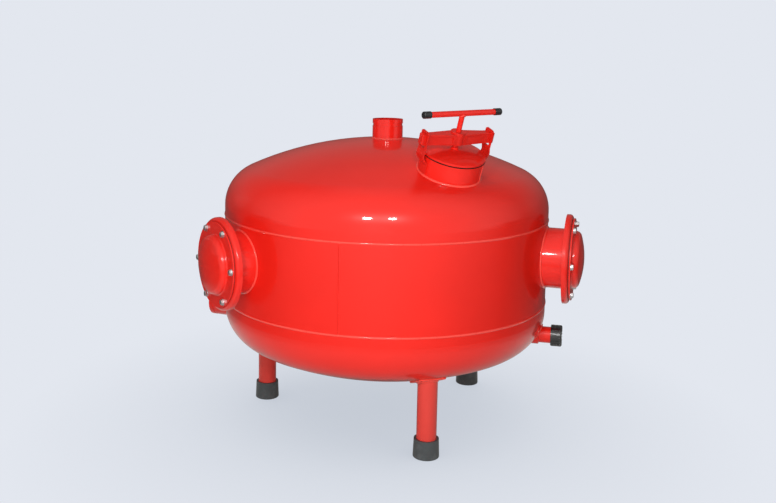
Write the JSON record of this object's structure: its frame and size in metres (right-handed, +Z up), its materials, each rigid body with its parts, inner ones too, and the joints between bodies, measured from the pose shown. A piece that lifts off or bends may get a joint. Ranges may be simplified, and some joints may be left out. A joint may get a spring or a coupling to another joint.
{
  "type": "media filter tank",
  "caption": "Low wide pressure filter tank with dished heads, three legs, a clamped filling port, bolted side ports, grooved inlet and outlet, and a capped drain.",
  "frame": {"origin": "on the floor, in the middle of the box that holds the tank and all its pipe stubs", "axes": "+Z up along the tank's axis and the inlet, +X to the right seen from the front, across the side with the drain, +Y to the back"},
  "size_m": [1.4499, 1.2236, 1.2034],
  "materials": {
    "red_paint": "gloss",
    "zinc": "satin",
    "black_rubber": "matte",
    "foot_rubber": "satin",
    "black_plastic": "satin",
    "strainer_plastic": "matte"
  },
  "bodies": {
    "tank": {"shell_ring": "red_paint", "top_head": "red_paint", "bottom_head": "red_paint", "inlet_pipe": "red_paint", "outlet_pipe": "red_paint", "drain_pipe": "red_paint", "drain_boss": "red_paint", "filling_neck": "red_paint", "left_stirrup": "red_paint", "right_stirrup": "red_paint", "nozzle_plate": "red_paint", "plate_ribs": "red_paint", "diffuser_plate": "red_paint", "diffuser_rods": "red_paint", "left_port_neck": "red_paint", "left_port_flange": "red_paint", "left_port_cover": "red_paint", "right_port_neck": "red_paint", "right_port_flange": "red_paint", "right_port_cover": "red_paint", "front_leg": "red_paint", "front_leg_pad": "red_paint", "rear_leg": "red_paint", "rear_leg_pad": "red_paint", "left_leg": "red_paint", "left_leg_pad": "red_paint", "left_port_gasket": "black_rubber", "right_port_gasket": "black_rubber", "front_foot_cap": "foot_rubber", "rear_foot_cap": "foot_rubber", "left_foot_cap": "foot_rubber", "filter_nozzles": "strainer_plastic", "nozzle_nuts": "strainer_plastic", "left_cover_bolts": "zinc", "left_cover_washers": "zinc", "left_cover_nuts": "zinc", "right_cover_bolts": "zinc", "right_cover_washers": "zinc", "right_cover_nuts": "zinc"},
    "yoke": {"yoke": "red_paint"},
    "lid": {"filling_lid": "red_paint", "lid_gasket": "black_rubber", "screw_seat": "red_paint", "keeper_ring": "red_paint"},
    "screw": {"clamp_screw": "red_paint", "handle_bar": "red_paint", "handle_grips": "black_plastic"},
    "drain_seal": {"drain_seal": "black_rubber"},
    "drain_cap": {"drain_cap": "black_plastic"}
  },
  "joints": [
    {"name": "yoke_slide", "type": "slide", "parent": "tank", "child": "yoke", "axis": [0.8673, 0.4977, 0], "range_m": [-0.015, 0.015]},
    {"name": "lid_travel", "type": "slide", "parent": "yoke", "child": "lid", "axis": [0.169, -0.2945, 0.9406], "range_m": [0, 0.006]},
    {"name": "screw_turn", "type": "hinge", "parent": "lid", "child": "screw", "pos_m": [0.21651, -0.38728, 1.04559], "axis": [0.169, -0.2945, 0.9406], "range_deg": [0, 540]},
    {"name": "cap_travel", "type": "slide", "parent": "tank", "child": "drain_seal", "axis": [0.9781, -0.2079, 0], "range_m": [0, 0.00924]},
    {"name": "cap_turn", "type": "hinge", "parent": "drain_seal", "child": "drain_cap", "pos_m": [0.64816, -0.13899, 0.3482], "axis": [0.9781, -0.2079, 0], "range_deg": [0, 1440]}
  ],
  "couplings": [
    {"joint": "lid_travel", "follows": "screw_turn", "m_per_rad": 0.00063662},
    {"joint": "cap_travel", "follows": "cap_turn", "m_per_rad": 0.00036765}
  ]
}
